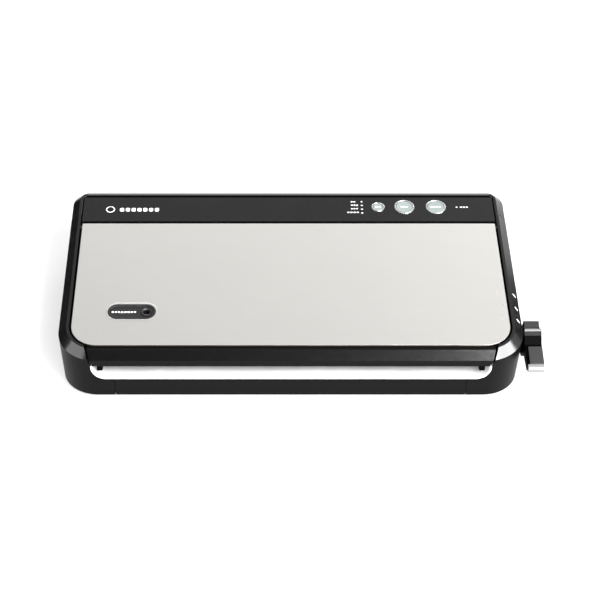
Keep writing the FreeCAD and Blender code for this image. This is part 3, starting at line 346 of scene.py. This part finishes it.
def woven_tape(name, colour):
    """Woven glass tape: a fine cross weave under a tan coating."""
    finish = Finish(name)
    weave = finish.times(finish.noise(0.4 * MM, (1, 12, 1)), finish.noise(0.4 * MM, (12, 1, 1)))
    finish.drive("Base_Color", finish.colours(weave, (0.12, tuple(c * 0.6 for c in colour)), (0.4, colour)))
    finish.drive("Roughness", finish.spread(weave, 0.35, 0.6, 0.1, 0.4))
    finish.bump(weave, 0.05 * MM)
    return finish.material


def sparked(name, low, high, specular, roughness, size, depth):
    """Spark-eroded moulding texture: coarse specks in relief."""
    finish = Finish(name)
    finish.set(Specular_IOR_Level=specular)
    speck = finish.noise(size, detail=4, roughness=0.65)
    finish.drive("Base_Color", finish.colours(speck, (0.35, low), (0.7, high)))
    finish.drive("Roughness", finish.spread(speck, roughness - 0.06, roughness + 0.06))
    finish.bump(speck, depth, 0.8)
    return finish.material


MATERIALS = {
    "black_casing": plastic("black_casing", (0.002, 0.002, 0.0021), 0.42, specular=0.07, worn=2.0),
    "black_inner": plastic("black_inner", (0.016, 0.016, 0.017), 0.52, grain=0.9 * MM, depth=0.03 * MM),
    "panel_gloss": plastic("panel_gloss", (0.0045, 0.0045, 0.0047), 0.24, grain=2 * MM, depth=0.003 * MM,
                           specular=0.3, spread=0.01),
    "brushed_steel": metal("brushed_steel", (0.745, 0.735, 0.705), 0.34, streak=(90, 1, 1), size=0.3 * MM,
                           depth=0.0008 * MM, spread=0.025, share=0.035),
    "bright_trim": metal("bright_trim", (0.60, 0.61, 0.61), 0.26, streak=(1, 1, 1), size=3 * MM,
                         depth=0.004 * MM, spread=0.03),
    "grip_grey": plastic("grip_grey", (0.019, 0.019, 0.0195), 0.45, grain=0.4 * MM, depth=0.02 * MM),
    "tray_grey": plastic("tray_grey", (0.72, 0.72, 0.715), 0.5, grain=0.8 * MM, specular=0.3, worn=1.05),
    "button_grey": plastic("button_grey", (0.21, 0.24, 0.235), 0.4, specular=0.3, worn=1.15),
    "lamp_lens": plastic("lamp_lens", (0.62, 0.64, 0.63), 0.25, worn=1.1),
    "black_rubber": plastic("black_rubber", (0.014, 0.014, 0.014), 0.8, grain=0.6 * MM, depth=0.04 * MM,
                            worn=1.5),
    "gasket_foam": foam("gasket_foam", (0.05, 0.05, 0.052)),
    "silicone": plastic("silicone", (0.42, 0.41, 0.39), 0.55, grain=1.2 * MM, depth=0.02 * MM, worn=1.1),
    "tape": woven_tape("tape", (0.42, 0.27, 0.14)),
    "wire": metal("wire", (0.55, 0.52, 0.48), 0.3),
    "plain_steel": metal("plain_steel", (0.30, 0.30, 0.295), 0.38, streak=(8, 1, 1), size=0.8 * MM),
    "copper": metal("copper", (0.72, 0.33, 0.17), 0.35, streak=(1, 30, 1), size=0.6 * MM, depth=0.05 * MM,
                    share=0.1),
    "board_green": plastic("board_green", (0.02, 0.11, 0.04), 0.35, grain=3 * MM, worn=1.6),
    "component_black": plastic("component_black", (0.02, 0.02, 0.022), 0.4, worn=2.0),
    "clear_tube": see_through("clear_tube", (0.85, 0.88, 0.87), 0.2, 0.85),
}
# Paints for single faces or pieces, used over the finish of their slot.
GLOSS = plastic("polished_black", (0.004, 0.004, 0.0042), 0.17, grain=4 * MM, depth=0.004 * MM, specular=0.75,
                spread=0.015)
EDGE_GLOSS = plastic("polished_rear_edge", (0.006, 0.006, 0.0062), 0.14, grain=4 * MM, depth=0.003 * MM,
                     specular=0.9, spread=0.01)
TEXTURED = sparked("textured_strip", (0.0006, 0.0006, 0.0006), (0.0022, 0.0022, 0.0023), specular=0.36,
                   roughness=0.16, size=1.1 * MM, depth=0.02 * MM)
# Dead black with almost no shine: painted shade in the lever's valley and on its other faces, and the bag
# stops' own black.
DEAD_BLACK_AND_PAINTED_SHADE = plastic("dead_black_and_painted_shade", (0.0006, 0.0006, 0.0006), 0.5, specular=0.02, worn=1.0)
# Painted highlight: a paler grey for the flat top of the lever's ridge, where the light catches it.
LEVER_RIDGE_PAINTED_HIGHLIGHT = plastic("lever_ridge_painted_highlight", (0.06, 0.06, 0.062), 0.35, grain=0.4 * MM, depth=0.01 * MM)
CAP_SILVER = plastic("cap_silver", (0.165, 0.165, 0.165), 0.3, specular=0.5, worn=1.3)
BLOCK_GREY = plastic("lever_block_grey", (0.014, 0.014, 0.0145), 0.6, grain=0.4 * MM, depth=0.02 * MM,
                     specular=0.1)
# Painted shade: a dark brownish steel for the steel plate's front-facing fold, darker than the plate's own
# steel because that face looks dark under this light.
STEEL_FRONT_PAINTED_SHADE = metal("steel_front_painted_shade", (0.11, 0.092, 0.075), 0.42, streak=(30, 1, 1))
PORT_BLACK = plastic("port_black", (0.010, 0.010, 0.0105), 0.35, grain=0.8 * MM, specular=0.4)
PRINT = plastic("print_white", (0.75, 0.75, 0.75), 0.5, specular=0.2, worn=1.0)
PRINT_GREY = plastic("print_grey", (0.30, 0.28, 0.28), 0.5, specular=0.2, worn=1.0)


def slot_of(node):
    """The name of the CAD node's material, without Blender's number."""
    return NODES[node].material_slots[0].material.name.split(".")[0]


SLOTS = {node: slot_of(node) for node in NODES}
for node, piece in NODES.items():
    piece.material_slots[0].material = MATERIALS[SLOTS[node]]


# ---------------------------------------------------------------- pieces

SMOOTH_ANGLE = 35           # degrees; edges that turn more stay sharp in shading
BEVEL_ANGLE = 28            # degrees; edges that turn more are rounded
BEVEL_SEGMENTS = 2
SAME_POINT = 0.002 * MM
FLAT_ANGLE = 0.3            # degrees; mesh edges that turn less are dissolved


def add_piece(name, work, materials, body):
    """Writes the bmesh to a new object, in the given materials, that rides on the body."""
    mesh = bpy.data.meshes.new(name)
    work.normal_update()
    work.to_mesh(mesh)
    work.free()
    for material in materials:
        mesh.materials.append(material)
    mesh.shade_smooth()
    mesh.set_sharp_from_angle(angle=math.radians(SMOOTH_ANGLE))
    piece = bpy.data.objects.new(name, mesh)
    bpy.context.scene.collection.objects.link(piece)
    weighted = piece.modifiers.new("weighted", "WEIGHTED_NORMAL")
    weighted.keep_sharp = True
    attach(piece, body)
    return piece


def add_made(name, work, material, body):
    """A piece modelled here, in one material."""
    bmesh.ops.recalc_face_normals(work, faces=work.faces)
    return add_piece(name, work, [material], body)


def mark_edges(work, faces):
    """Writes the attribute that the finishes read as a rubbed edge."""
    layer = work.loops.layers.float.get("edge") or work.loops.layers.float.new("edge")
    for face in faces:
        for loop in face.loops:
            loop[layer] = 1.0


def round_off(work, width):
    """Bevels every sharp edge and marks the new faces as edges."""
    limit = math.radians(BEVEL_ANGLE)
    chosen = [e for e in work.edges if e.is_manifold and e.calc_face_angle(0) > limit]
    made = bmesh.ops.bevel(work, geom=chosen, offset=width, offset_type="OFFSET", segments=BEVEL_SEGMENTS,
                           profile=0.5, affect="EDGES", clamp_overlap=True, loop_slide=True, material=-1)
    mark_edges(work, made["faces"])


def refine(node, width, paints):
    """Makes a rounded piece that stands for a CAD node. Each paint is a material and a test of a face's
    normal and centre. A face gets the material of the first test that holds, or else keeps the node's own."""
    work = bmesh.new()
    work.from_mesh(NODES[node].data)
    bmesh.ops.remove_doubles(work, verts=work.verts, dist=SAME_POINT)
    bmesh.ops.dissolve_limit(work, angle_limit=math.radians(FLAT_ANGLE), use_dissolve_boundaries=False,
                             verts=work.verts, edges=work.edges)
    round_off(work, width)
    work.normal_update()
    for face in work.faces:
        for number, (material, test) in enumerate(paints, 1):
            if test(face.normal, face.calc_center_median()):
                face.material_index = number
                break
    materials = [MATERIALS[SLOTS[node]]] + [material for material, test in paints]
    piece = add_piece(f"{node}_detail", work, materials, NODES[node]["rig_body"])
    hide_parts(node)


# Places on the object that the face tests compare with: heights end in LOW, and the others are along Y.
BAND_LOW = 40 * MM
RIM_LOW = 48 * MM
REAR_LOW = 60 * MM
STRIP_BACK = -93 * MM
HOUSING_EDGE_FRONT = 91.8 * MM
CORNER_EDGE_FRONT = 95 * MM
BLOCK_LOW, BLOCK_FRONT = 44 * MM, -63.6 * MM
RIDGE_LOW, RIDGE_FRONT, RIDGE_BACK = 43 * MM, -66.8 * MM, -64.7 * MM
RIDGE_FACE_LOW, RIDGE_FACE_BACK = 40.8 * MM, -66.3 * MM


def is_shoulder(normal, centre):
    """The sloping band round the top of the casing, and its rounded crease."""
    return centre.z > BAND_LOW and 0.25 < normal.z < 0.93


def is_rim(normal, centre):
    """The flat band between the plate and the shoulder."""
    return centre.z > RIM_LOW and normal.z > 0.95


def is_strip(normal, centre):
    """The lid's sloping front strip."""
    return centre.y < STRIP_BACK and centre.z > BAND_LOW and 0.55 < normal.z < 0.88 and normal.y < -0.3


def is_front_skirt(normal, centre):
    """The folded edge of the steel plate that faces the front."""
    return normal.y < -0.75 and abs(normal.z) < 0.5


def is_rear_edge(normal, centre):
    """The rear housing's rounded top edge."""
    return centre.y > HOUSING_EDGE_FRONT and centre.z > REAR_LOW and normal.z > 0.2


def is_rear_corner_edge(normal, centre):
    """The same edge on the rear corner pieces, up to where it turns to the side."""
    return centre.y > CORNER_EDGE_FRONT and centre.z > REAR_LOW and 0.2 < normal.z < 0.97 and normal.y > 0.35


def is_block(normal, centre):
    """The lever's block behind its valley."""
    return centre.z > BLOCK_LOW and centre.y > BLOCK_FRONT and abs(normal.x) < 0.7


def is_ridge(normal, centre):
    """The flat top of the ridge in front of the valley."""
    return centre.z > RIDGE_LOW and RIDGE_FRONT < centre.y < RIDGE_BACK and normal.z > 0.7


def is_ridge_front(normal, centre):
    """The ridge's front face."""
    return centre.z > RIDGE_FACE_LOW and centre.y < RIDGE_FACE_BACK and normal.y < -0.6


def anywhere(normal, centre):
    return True


RAIL = ((GLOSS, is_shoulder), (MATERIALS["panel_gloss"], is_rim))
REAR_CORNER = ((EDGE_GLOSS, is_rear_corner_edge), *RAIL)
# The lever's faces: a painted highlight (paler grey) on the ridge top, its own grey on the block and the
# ridge's front, and painted shade (dead black, almost no shine) in the valley and on every other face.
LEVER = ((LEVER_RIDGE_PAINTED_HIGHLIGHT, is_ridge), (BLOCK_GREY, is_block), (BLOCK_GREY, is_ridge_front),
         (DEAD_BLACK_AND_PAINTED_SHADE, anywhere))
# The outer nodes: the width of their rounded edges in millimetres, and their paints.
REFINED = {
    "left_side_rail": (0.25, RAIL),
    "right_side_rail": (0.25, RAIL),
    "left_rear_corner": (0.35, REAR_CORNER),
    "right_rear_corner": (0.35, REAR_CORNER),
    "rear_housing": (0.35, ((EDGE_GLOSS, is_rear_edge),)),
    "front_bar": (0.12, ()),
    "control_panel": (0.25, ()),
    "lid_shell": (0.3, ((TEXTURED, is_strip),)),
    # The steel plate's front-facing fold takes the painted-shade steel.
    "lid_steel_plate": (0.2, ((STEEL_FRONT_PAINTED_SHADE, is_front_skirt),)),
    "bag_tray": (0.4, ()),
    "bag_stops": (0.3, ((DEAD_BLACK_AND_PAINTED_SHADE, anywhere),)),
    "lever_arm": (1.0, LEVER),
    "lever_grip_pad": (0.4, ()),
    "lever_end_cap": (0.7, ((CAP_SILVER, anywhere),)),
    "port_plate": (0.4, ((PORT_BLACK, anywhere),)),
}
for node, (width, paints) in REFINED.items():
    refine(node, width * MM, paints)


# ---------------------------------------------------------------- turned pieces and printed marks

def on_top(x, y, lift=0.0):
    """Frame lying on the top plane above (x, y), all in millimetres; its Z is square to the plane."""
    rise = TOP_RISE * (y * MM - TOP_FRONT_Y)
    return (Matrix.Translation((x * MM, y * MM, TOP_FRONT_Z + rise)) @ Matrix.Rotation(TOP_ANGLE, 4, "X")
            @ Matrix.Translation((0, 0, lift * MM)))


def turned(work, place, profile, straight=0.0, steps=72):
    """Sweeps a closed profile of (radius, height), in millimetres, round the place's Z. With "straight", the
    round is drawn out along X by that much each way. A radius of 0 closes the shape at its axis."""
    rings = []
    for radius, height in profile:
        if radius == 0:
            rings.append([work.verts.new(place @ Vector((0, 0, height * MM)))] * steps)
            continue
        ring = []
        for i in range(steps):
            turn = 2 * math.pi * (i + 0.5) / steps
            shift = math.copysign(straight, math.cos(turn))
            point = Vector((radius * math.cos(turn) + shift, radius * math.sin(turn), height)) * MM
            ring.append(work.verts.new(place @ point))
        rings.append(ring)
    joined = rings[1:] if profile[0][0] == 0 else rings[1:] + rings[:1]
    for low, high in zip(rings, joined):
        for i in range(steps):
            j = (i + 1) % steps
            corners = dict.fromkeys((low[i], low[j], high[j], high[i]))
            work.faces.new(list(corners))


PRINT_THICK = 0.05
PRINT_LIFT = 0.01
CHAMFER_SHARE = 0.2


def bar(work, place, x, width, depth):
    """Thin printed bar at x along the place, in millimetres, with chamfered corners."""
    nick = CHAMFER_SHARE * min(width, depth)
    a, b = width / 2, depth / 2
    plan = ((-a + nick, -b), (a - nick, -b), (a, -b + nick), (a, b - nick), (a - nick, b), (-a + nick, b),
            (-a, b - nick), (-a, -b + nick))
    low, high = ([work.verts.new(place @ (Vector((x + u, v, z)) * MM)) for u, v in plan]
                 for z in (0.0, PRINT_THICK))
    count = len(plan)
    for i in range(count):
        work.faces.new((low[i], low[(i + 1) % count], high[(i + 1) % count], high[i]))
    work.faces.new(high)
    work.faces.new(low[::-1])


DASH_GAP = 0.28             # share of the pitch between bars


def dashes(work, place, width, depth, count):
    """A row of short bars where the object has a printed word."""
    pitch = width / (count - DASH_GAP)
    length = pitch * (1 - DASH_GAP)
    for i in range(count):
        bar(work, place, (length - width) / 2 + pitch * i, length, depth)


BUTTON_Y = 76.2
BUTTONS = {"small": (74.05, 4.5), "left": (98.35, 7.6), "right": (127.45, 7.6)}         # x, radius
BUTTON_MARKS = {"small": (5.2, 1.2, 3), "left": (6.6, 1.5, 3), "right": (9.6, 1.6, 4)}  # width, depth, bars
SKIRT_WIDE = 0.9            # the skirt that keeps a cap in its ring
SKIRT_TOP, CAP_FOOT = -5.0, -6.4
DISH_LIFT = 0.25            # the dished middle of a cap, above the panel

for name, (x, radius) in BUTTONS.items():
    cap = bmesh.new()
    turned(cap, on_top(x, BUTTON_Y), [
        (0, DISH_LIFT - 0.01), (radius * 0.7, DISH_LIFT + 0.01), (radius * 0.84, 0.38), (radius * 0.92, 0.49),
        (radius * 0.97, 0.44), (radius, 0.2), (radius, SKIRT_TOP), (radius + SKIRT_WIDE, SKIRT_TOP),
        (radius + SKIRT_WIDE, CAP_FOOT), (0, CAP_FOOT)])
    node = f"{name}_button"
    piece = add_made(f"{node}_cap", cap, MATERIALS["button_grey"], node)
    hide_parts(node)
    mark = bmesh.new()
    dashes(mark, on_top(x, BUTTON_Y, DISH_LIFT), *BUTTON_MARKS[name])
    add_made(f"{node}_mark", mark, PRINT, node)

RING_GAP = 0.3              # between a cap and its ring
RING_WIDE = 1.3
RING_FOOT = -3.2
rings = bmesh.new()
for x, radius in BUTTONS.values():
    inner = radius + RING_GAP
    outer = inner + RING_WIDE
    turned(rings, on_top(x, BUTTON_Y), [
        (inner, RING_FOOT), (inner, 0.15), (inner + 0.12, 0.38), (inner + 0.35, 0.52), (inner + 0.65, 0.55),
        (inner + 0.95, 0.42), (outer - 0.08, 0.2), (outer, -0.1), (outer, RING_FOOT)])
piece = add_made("button_rings", rings, MATERIALS[SLOTS["button_bezels"]], "base")
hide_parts("button_bezels")

MODE_LAMP_X = 59.15
MODE_LAMP_ROWS = (83.6, 78.5, 73.5, 68.5)
POWER_LAMP = (146.65, 76.2)
LAMP_RADIUS, LAMP_FOOT, LAMP_STEPS = 1.0, -4.5, 32
lenses = bmesh.new()
for x, y in [(MODE_LAMP_X, y) for y in MODE_LAMP_ROWS] + [POWER_LAMP]:
    turned(lenses, on_top(x, y), [
        (0, 0.1), (0.45, 0.08), (0.8, 0.0), (0.97, -0.15), (LAMP_RADIUS, -0.4), (LAMP_RADIUS, LAMP_FOOT),
        (0, LAMP_FOOT)], steps=LAMP_STEPS)
piece = add_made("lamp_lenses", lenses, MATERIALS["lamp_lens"], "base")
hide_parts("indicator_lamps")

# Print on the panel: a short row by each lamp, and a ring and a band of bars at the left.
PANEL_ROWS = ((51.15, 83.3, 4.2, 2), (52.4, 78.7, 6.5, 3), (52.2, 74.0, 6.5, 3), (50.7, 69.1, 10.7, 4),
              (153.4, 76.0, 7.3, 3))                                                    # x, y, width, bars
PANEL_ROW_DEPTH = 1.5
PANEL_RING, RING_RADII = (-173.05, 73.0), (3.2, 4.1)
PANEL_BAND, BAND_SIZE = (-146.3, 72.6), (36.0, 4.6, 7)
panel_print = bmesh.new()
for x, y, width, count in PANEL_ROWS:
    dashes(panel_print, on_top(x, y, PRINT_LIFT), width, PANEL_ROW_DEPTH, count)
turned(panel_print, on_top(*PANEL_RING, PRINT_LIFT), [
    (RING_RADII[0], 0.0), (RING_RADII[0], PRINT_THICK), (RING_RADII[1], PRINT_THICK), (RING_RADII[1], 0.0)])
dashes(panel_print, on_top(*PANEL_BAND, PRINT_LIFT), *BAND_SIZE)
add_made("panel_print", panel_print, PRINT, "base")

# Faint rows on the steel beside the lever, and a pale tick for each on the sloping shoulder.
LEVER_ROWS = ((172.6, -31.9, 8.4), (173.6, -47.4, 6.3), (174.0, -62.4, 5.6))            # x, y, width
LEVER_ROW_DEPTH, LEVER_ROW_BARS = 1.9, 4
plate_print = bmesh.new()
for x, y, width in LEVER_ROWS:
    dashes(plate_print, on_top(x, y, PRINT_LIFT), width, LEVER_ROW_DEPTH, LEVER_ROW_BARS)
add_made("plate_print", plate_print, PRINT_GREY, "lid")

SHOULDER_MIDDLE, SHOULDER_DROP = 187.9, 3.3
SHOULDER_FALL, SHOULDER_WIDE = 6.3, 7.0
SHOULDER_TILT = math.atan2(SHOULDER_FALL, SHOULDER_WIDE)
TICK_ROWS = (-33.0, -48.6, -63.0)
TICK_SIZE, TICK_SLANT = (4.2, 1.4), math.radians(-35)
ticks = bmesh.new()
for y in TICK_ROWS:
    slope = on_top(SHOULDER_MIDDLE, y, -SHOULDER_DROP) @ Matrix.Rotation(SHOULDER_TILT, 4, "Y")
    place = slope @ Matrix.Rotation(TICK_SLANT, 4, "Z") @ Matrix.Translation((0, 0, PRINT_LIFT * MM))
    bar(ticks, place, 0, *TICK_SIZE)
add_made("shoulder_ticks", ticks, PRINT, "base")

# Accessory port: pressed bead in the steel round it, printed band in its dish, and its turned socket.
PORT = (-146.35, -55.1)
PORT_STRAIGHT = 12.1
BEAD_STEPS = 96
BEAD_INNER, BEAD_OUTER, BEAD_FOOT = 8.85, 10.7, -0.5
PORT_BAND, PORT_BAND_SIZE = (-153.15, -54.9, -0.69), (21.0, 1.8, 8)
SOCKET_X = -133.65
SOCKET_COLLAR, SOCKET_TUBE, SOCKET_BORE = 4.7, 3.8, 2.6      # radii
COLLAR_FOOT, SOCKET_FOOT = -1.8, -9.0
bead = bmesh.new()
turned(bead, on_top(*PORT), [
    (BEAD_INNER, BEAD_FOOT), (BEAD_INNER, 0.05), (9.1, 0.14), (9.5, 0.17), (10.1, 0.1), (BEAD_OUTER, 0.0),
    (BEAD_OUTER, BEAD_FOOT)], PORT_STRAIGHT, BEAD_STEPS)
add_made("port_bead", bead, MATERIALS["brushed_steel"], "lid")
port_print = bmesh.new()
dashes(port_print, on_top(*PORT_BAND), *PORT_BAND_SIZE)
add_made("port_print", port_print, PRINT, "lid")
socket = bmesh.new()
turned(socket, on_top(SOCKET_X, PORT[1]), [
    (SOCKET_COLLAR, COLLAR_FOOT), (SOCKET_COLLAR, 0.3), (4.55, 0.5), (4.2, 0.58), (3.8, 0.5), (3.3, 0.1),
    (2.75, -0.6), (SOCKET_BORE, -1.2), (SOCKET_BORE, SOCKET_FOOT), (SOCKET_TUBE, SOCKET_FOOT),
    (SOCKET_TUBE, COLLAR_FOOT)])
piece = add_made("socket_turned", socket, PORT_BLACK, "lid")
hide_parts("port_socket")

# Dark strips behind the two upright seams of the front wall, along the drafted wall's inner face.
SEAMS = (-159.85, 142.15)
SEAM_HALF = 3.0
SEAM_THICK = 1.0
SEAM_FOOT, SEAM_TOP = (-100.5, 3.3), (-101.25, 20.0)        # y, z on the wall's inner face
SEAM_ROUND = 0.2
seams = bmesh.new()
for middle in SEAMS:
    left, right = ([seams.verts.new(Vector((middle + side, y + back, z)) * MM)
                    for back, (y, z) in ((0, SEAM_FOOT), (0, SEAM_TOP), (SEAM_THICK, SEAM_TOP),
                                         (SEAM_THICK, SEAM_FOOT))]
                   for side in (-SEAM_HALF, SEAM_HALF))
    seams.faces.new(left)
    seams.faces.new(right[::-1])
    for i in range(4):
        seams.faces.new((left[i], right[i], right[(i + 1) % 4], left[(i + 1) % 4]))
bmesh.ops.recalc_face_normals(seams, faces=seams.faces)
round_off(seams, SEAM_ROUND * MM)
add_piece("seam_backing", seams, [MATERIALS["black_inner"]], "base")
